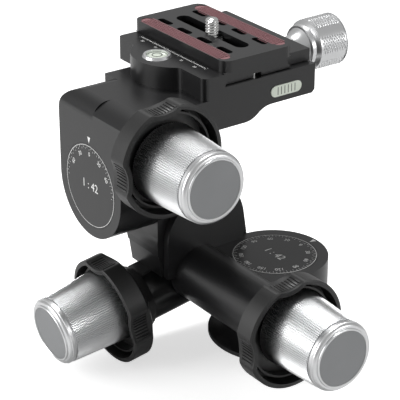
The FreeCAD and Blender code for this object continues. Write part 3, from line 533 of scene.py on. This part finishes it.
gripLook = {"pitch": 1.25, "stud": 0.85, "height": 0.3, "studRoot": 1.4, "rowsAcross": 6, "endMargin": 2.4,
            "width": 7.6, "proud": 0.05, "middle": 15.0}

stripLow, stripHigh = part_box("plate_rubber_strips")
plateLow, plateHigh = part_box("plate")
stripWidth = gripLook["width"] * mm
stripTop = plateHigh.z + gripLook["proud"] * mm
gripHeight = gripLook["height"] * mm
gripPitch = gripLook["pitch"] * mm
gripLength = stripHigh.x - stripLow.x
studs = int((gripLength - 2 * gripLook["endMargin"] * mm) / gripPitch)
halfStud = gripLook["stud"] * mm / 2
stud = [(-halfStud, -halfStud), (halfStud, -halfStud), (halfStud, halfStud), (-halfStud, halfStud)]
middleX = (stripLow.x + stripHigh.x) / 2
middleY = (stripLow.y + stripHigh.y) / 2
strips = []
for side in (-1, 1):
    bedMesh = prismBetween(slotOutline(gripLength, stripWidth, (0, 0)), stripLow.z, stripTop - gripHeight)
    studMesh = prismBetween(stud, stripTop - gripHeight * gripLook["studRoot"], stripTop)
    rowSizes = {"CountX": studs, "CountY": gripLook["rowsAcross"], "PitchX": gripPitch, "PitchY": gripPitch}
    rows = copied(rowTree, bedMesh, studMesh, rowSizes, "plate_rubber")
    rows.transform(Matrix.Translation((middleX, middleY + side * gripLook["middle"] * mm, 0)))
    strips.append(rows)
placePiece("rubberGrips", joined(strips), Matrix.Identity(4), "plate_body", "plate_rubber",
           ["plate_rubber_strips"])

threadLook = {"radius": 3.1, "pitch": 1.27, "depth": 0.55, "rowsPerTurn": 8, "headHeight": 2.4,
              "headEdge": 0.4, "dome": 1.1, "domeInset": 0.25, "domeRows": 5, "steps": 40}
screwLow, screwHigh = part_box("camera_screw")
screwRadius = threadLook["radius"] * mm
headRadius = (screwHigh.x - screwLow.x) / 2
headEdge = threadLook["headEdge"] * mm
headTop = screwLow.z + threadLook["headHeight"] * mm
threadTop = screwHigh.z - threadLook["dome"] * mm
rowHeight = threadLook["pitch"] * mm / threadLook["rowsPerTurn"]
screwRows = [(screwLow.z, 0), (screwLow.z, headRadius - headEdge), (screwLow.z + headEdge, headRadius),
             (headTop - headEdge, headRadius), (headTop, headRadius - headEdge), (headTop, screwRadius)]
threadStart = len(screwRows)
height = headTop + rowHeight
while height < threadTop:
    screwRows.append((height, screwRadius))
    height += rowHeight
threadEnd = len(screwRows)
for k in range(threadLook["domeRows"]):
    angle = math.pi / 2 * k / threadLook["domeRows"]
    screwRows.append((threadTop + threadLook["dome"] * mm * math.sin(angle),
                      (screwRadius - threadLook["domeInset"] * mm) * math.cos(angle)))
screwRows.append((screwHigh.z, 0))


def threadRipple(row, along, angle):
    if row < threadStart or row >= threadEnd:
        return 0.0
    turnPart = (along / (threadLook["pitch"] * mm) - angle / (2 * math.pi)) % 1.0
    return -threadLook["depth"] * mm * abs(2 * turnPart - 1)


screwMesh = spun(screwRows, threadLook["steps"], threadRipple)
screwMiddle = (screwLow + screwHigh) / 2
upright = frameMatrix((screwMiddle.x, screwMiddle.y, 0), (0, 0, 1), (0, 1, 0))
placePiece("threadedCameraScrew", screwMesh, upright, "camera_screw_body", "steel", ["camera_screw"])
print("plate dressed")


# Clamp knob: neck, flared cone, polished ring and a barrel with diamond knurl between smooth flutes
# coneSteps are before the barrel and below the cone's radius
# endSteps are before the end and below the barrel's radius

clampLook = {"neck": 5.0, "neckRadius": 6.0, "neckEdge": 0.3, "cone": 10.0, "coneRadius": 10.3,
             "flareLength": 6.0, "flareRows": 6, "flarePower": 1.7, "flareRim": 1.4,
             "coneSteps": [(4.0, 0.7), (3.6, 0.3), (2.0, 0), (1.6, 0.3), (1.4, 0)],
             "edge": 1.5, "endSteps": [(1.5, 0.05), (1.2, 0.05), (0, 1.5), (0, 3.2), (0.4, 3.6)],
             "recess": 0.4, "stud": 0.42, "studSink": 0.08, "pitch": 1.45, "panels": 6,
             "firstPanel": 0.3, "pairs": 3, "pairStepDegrees": 13.0, "steps": 84}
turnJoint = joints["clamp_knob_turn"]
clampAxis = frameMatrix((turnJoint["pos_m"][0], 0, turnJoint["pos_m"][2]), (0, 1, 0), (0, 0, 1))
back, front, barrel = reachOf("clamp_knob", clampAxis)
coneStart = back + clampLook["neck"] * mm
barrelStart = coneStart + clampLook["cone"] * mm
core = barrel - clampLook["stud"] * mm
neckRadius, coneRadius = clampLook["neckRadius"] * mm, clampLook["coneRadius"] * mm
neckEdge, edge = clampLook["neckEdge"] * mm, clampLook["edge"] * mm
flareRise = coneRadius - clampLook["flareRim"] * mm - neckRadius
profile = [(back, 0), (back, neckRadius - neckEdge), (back + neckEdge, neckRadius)]
for k in range(clampLook["flareRows"] + 1):
    part = k / clampLook["flareRows"]
    profile.append((coneStart + part * clampLook["flareLength"] * mm,
                    neckRadius + flareRise * part ** clampLook["flarePower"]))
profile += [(barrelStart - before * mm, coneRadius - below * mm) for before, below in clampLook["coneSteps"]]
profile += [(barrelStart, core), (front - edge, core)]
profile += [(front - before * mm, barrel - below * mm) for before, below in clampLook["endSteps"]]
profile.append((front - clampLook["recess"] * mm, 0))
studRows = int((front - edge - barrelStart) / (clampLook["pitch"] * mm)) - 1
halfStep = math.radians(clampLook["pairStepDegrees"]) / 2
halfPitch = clampLook["pitch"] * mm / 2
pyramids, pyramidFaces = [], []
for row in range(2):
    angle = row * halfStep
    outward = Vector((0, math.cos(angle), math.sin(angle)))
    aside = Vector((0, -math.sin(angle), math.cos(angle))) * (core * halfStep)
    lengthwise = Vector((halfPitch, 0, 0))
    for k in range(studRows):
        middle = barrelStart + (1.0 + k + row * 0.5) * 2 * halfPitch
        first = len(pyramids)
        foot = Vector((middle, 0, 0)) + outward * (core - clampLook["studSink"] * mm)
        pyramids += [foot + lengthwise, foot + aside, foot - lengthwise, foot - aside,
                     Vector((middle, 0, 0)) + outward * barrel]
        pyramidFaces += [[first + a, first + (a + 1) % 4, first + 4] for a in range(4)]
        pyramidFaces.append([first + 3, first + 2, first + 1, first])
pairStep = 2 * halfStep
panelStart = -pairStep * (clampLook["pairs"] - 0.5) / 2
panel = copied(ringTree, None, meshFrom(pyramids, pyramidFaces),
               {"Count": clampLook["pairs"], "Step": pairStep, "Start": panelStart}, "silver_aluminium")
panelTurns = {"Count": clampLook["panels"], "Step": 2 * math.pi / clampLook["panels"],
              "Start": clampLook["firstPanel"]}
clampMesh = copied(ringTree, spun(profile, clampLook["steps"]), panel, panelTurns, "silver_aluminium")
placePiece("knurledClampKnob", clampMesh, clampAxis, "clamp_turn", "silver_aluminium", ["clamp_knob"])
print("clamp knob made")


# Clamp scale, round level and tube level

scaleLook = {"baselineGap": 2.3, "ticks": 51, "pitch": 1.0, "ticksPerNumber": 10, "tick": 1.1,
             "longTick": 2.0, "width": 0.16, "numbers": (-20, -10, 10, 20), "numberGap": 2.7,
             "numberSize": 1.9, "height": 0.02}
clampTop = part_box("clamp_base")[1].z
scalePlace = ((plateLow.x + plateHigh.x) / 2, plateLow.y - scaleLook["baselineGap"] * mm, clampTop)
thin = scaleLook["height"] * mm
halfWidth = scaleLook["width"] * mm / 2
tickPitch = scaleLook["pitch"] * mm
halfScale = (scaleLook["ticks"] - 1) * tickPitch / 2
line = plainBox((-halfScale, -halfWidth, -thin), (halfScale, halfWidth, thin))
scaleParts = []
for base, kind, every in ((line, "tick", 1), (None, "longTick", scaleLook["ticksPerNumber"])):
    halfLength = scaleLook[kind] * mm / 2
    tick = plainBox((-halfWidth, -halfLength, -thin), (halfWidth, halfLength, thin))
    rowSizes = {"CountX": (scaleLook["ticks"] - 1) // every + 1, "CountY": 1, "PitchX": tickPitch * every,
                "PitchY": 0.0}
    scaleParts.append(copied(rowTree, base, tick, rowSizes, "white_print"))
for number in scaleLook["numbers"]:
    letters = lettering(str(abs(number)), scaleLook["numberSize"] * mm, thin)
    letters.transform(Matrix.Translation((number * mm, -scaleLook["numberGap"] * mm, 0)))
    scaleParts.append(letters)
placePiece("clampScale", joined(scaleParts), Matrix.Translation(scalePlace), "level_body", "white_print")

lensLook = {"bulge": 0.9, "rows": 6, "steps": 48, "ringInner": 0.40, "ringOuter": 0.48, "ringBottom": 0.3,
            "ringTop": 0.02, "ringSteps": 40}
lensLow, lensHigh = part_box("round_level_glass")
lensRadius = (lensHigh.x - lensLow.x) / 2
lensTop = lensHigh.z
bulge = lensLook["bulge"] * mm
lensRows = [(lensLow.z, 0), (lensLow.z, lensRadius), (lensTop - bulge, lensRadius)]
for k in range(1, lensLook["rows"]):
    angle = math.pi / 2 * k / lensLook["rows"]
    lensRows.append((lensTop - bulge + bulge * math.sin(angle), lensRadius * math.cos(angle)))
lensRows.append((lensTop, 0))
lensMiddle = (lensLow + lensHigh) / 2
lensFrame = frameMatrix((lensMiddle.x, lensMiddle.y, 0), (0, 0, 1), (0, 1, 0))
placePiece("roundLevelLens", spun(lensRows, lensLook["steps"]), lensFrame, "level_body", "level_glass",
           ["round_level_glass"])
ringBottom, ringTop = lensTop - lensLook["ringBottom"] * mm, lensTop - lensLook["ringTop"] * mm
markRing = ringBand(lensLook["ringInner"] * lensRadius, lensLook["ringOuter"] * lensRadius, ringBottom,
                    ringTop, lensLook["ringSteps"])
placePiece("roundLevelMark", markRing, lensFrame, "level_body", "dark_line")

vialLook = {"lines": 6, "pitch": 1.9, "lineWidth": 0.35, "lineShare": 0.36, "height": 0.03}
vialLow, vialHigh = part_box("tube_level")
vialY = (vialLow.y + vialHigh.y) / 2
vialZ = (vialLow.z + vialHigh.z) / 2
halfLine = vialLook["lineWidth"] * mm / 2
halfLineLength = (vialHigh.z - vialLow.z) * vialLook["lineShare"]
lineHeight = vialLook["height"] * mm
lineItem = plainBox((-halfLine, -halfLineLength, -lineHeight), (halfLine, halfLineLength, lineHeight))
lines = copied(rowTree, None, lineItem, {"CountX": vialLook["lines"], "CountY": 1,
                                         "PitchX": vialLook["pitch"] * mm, "PitchY": 0.0}, "dark_line")
vialFrame = frameMatrix((vialHigh.x, vialY, vialZ), (0, 1, 0), (0, 0, 1))
placePiece("tubeLevelLines", lines, vialFrame, "level_body", "dark_line")
print("scale and levels made")


# Floor, lights, world and camera

view = {"azimuth": 54.164, "elevation": 25.472, "distance": 0.737607,
        "target": (0.002005, -0.042936, 0.078982), "focalPixels": 1728.652, "framePixels": 400,
        "sensor": 36.0}
lamps = {
    "key": {"left": 0.80, "back": 0.25, "up": 0.30, "size": 0.60, "energy": 5.5},
    "top": {"left": 0.05, "back": -0.35, "up": 0.85, "size": 0.24, "energy": 6.0},
    "side": {"left": -0.85, "back": 0.35, "up": 0.25, "size": 0.35, "energy": 2.5},
}
azimuth, elevation = math.radians(view["azimuth"]), math.radians(view["elevation"])
target = Vector(view["target"])
toCamera = Vector((math.sin(azimuth) * math.cos(elevation), -math.cos(azimuth) * math.cos(elevation),
                   math.sin(elevation)))
leftward = Vector((-math.cos(azimuth), -math.sin(azimuth), 0))
cameraData = bpy.data.cameras.new("camera")
cameraData.sensor_width = view["sensor"]
cameraData.lens = view["sensor"] * view["focalPixels"] / view["framePixels"]
cameraData.clip_start = 0.01
camera = bpy.data.objects.new("camera", cameraData)
bpy.context.scene.collection.objects.link(camera)
camera.location = target + toCamera * view["distance"]
camera.rotation_euler = (-toCamera).to_track_quat("-Z", "Y").to_euler()
bpy.context.scene.camera = camera

flatBack = Vector((toCamera.x, toCamera.y, 0)).normalized()
for name, values in lamps.items():
    lampData = bpy.data.lights.new(name, "AREA")
    lampData.shape = "SQUARE"
    lampData.size = values["size"]
    lampData.energy = values["energy"]
    lamp = bpy.data.objects.new(name, lampData)
    bpy.context.scene.collection.objects.link(lamp)
    lamp.location = target + leftward * values["left"] + flatBack * values["back"]
    lamp.location.z += values["up"]
    lamp.rotation_euler = (target - lamp.location).to_track_quat("-Z", "Y").to_euler()

stageLook = {"floorHalf": 3, "floorGap": 0.2, "floorColour": (0.92, 0.92, 0.92, 1.0), "floorRoughness": 0.9,
             "floorSpecular": 0.1, "floorGlow": 0.62, "white": (1.0, 1.0, 1.0, 1.0), "worldLight": 0.22,
             "worldInGloss": 0.50}
floorHalf = stageLook["floorHalf"]
floorCorners = [(-floorHalf, -floorHalf, 0), (floorHalf, -floorHalf, 0), (floorHalf, floorHalf, 0),
                (-floorHalf, floorHalf, 0)]
floorMesh = meshFrom(floorCorners, [[0, 1, 2, 3]])
floorMesh.transform(Matrix.Translation((0, 0, cadBox[0].z - stageLook["floorGap"] * mm)))
floor = bpy.data.objects.new("floor", floorMesh)
bpy.context.scene.collection.objects.link(floor)
floorPaint = bpy.data.materials.new("floorPaint")
floorPaint.use_nodes = True
floorShader = floorPaint.node_tree.nodes["Principled BSDF"]
floorShader.inputs["Base Color"].default_value = stageLook["floorColour"]
floorShader.inputs["Roughness"].default_value = stageLook["floorRoughness"]
floorShader.inputs["Specular IOR Level"].default_value = stageLook["floorSpecular"]
floorShader.inputs["Emission Color"].default_value = stageLook["white"]
floorRays = floorPaint.node_tree.nodes.new("ShaderNodeLightPath")
floorGlow = floorPaint.node_tree.nodes.new("ShaderNodeMath")
floorGlow.operation = "MULTIPLY"
floorGlow.inputs[1].default_value = stageLook["floorGlow"]
floorPaint.node_tree.links.new(floorRays.outputs["Is Camera Ray"], floorGlow.inputs[0])
floorPaint.node_tree.links.new(floorGlow.outputs["Value"], floorShader.inputs["Emission Strength"])
floorMesh.materials.append(floorPaint)

world = bpy.data.worlds.new("studio")
world.use_nodes = True
worldNodes, worldLinks = world.node_tree.nodes, world.node_tree.links
ambient = worldNodes["Background"]
ambient.inputs["Color"].default_value = stageLook["white"]
seen = worldNodes.new("ShaderNodeBackground")
seen.inputs["Color"].default_value = stageLook["white"]
rays = worldNodes.new("ShaderNodeLightPath")
mirrored = worldNodes.new("ShaderNodeMapRange")
mirrored.inputs["To Min"].default_value = stageLook["worldLight"]
mirrored.inputs["To Max"].default_value = stageLook["worldInGloss"]
worldLinks.new(rays.outputs["Is Glossy Ray"], mirrored.inputs["Value"])
worldLinks.new(mirrored.outputs["Result"], ambient.inputs["Strength"])
either = worldNodes.new("ShaderNodeMath")
either.operation = "MAXIMUM"
worldLinks.new(rays.outputs["Is Camera Ray"], either.inputs[0])
worldLinks.new(rays.outputs["Is Transmission Ray"], either.inputs[1])
blend = worldNodes.new("ShaderNodeMixShader")
worldLinks.new(either.outputs["Value"], blend.inputs["Fac"])
worldLinks.new(ambient.outputs["Background"], blend.inputs[1])
worldLinks.new(seen.outputs["Background"], blend.inputs[2])
worldLinks.new(blend.outputs["Shader"], worldNodes["World Output"].inputs["Surface"])
bpy.context.scene.world = world
bpy.context.scene.view_settings.view_transform = "Standard"
print("stage set")
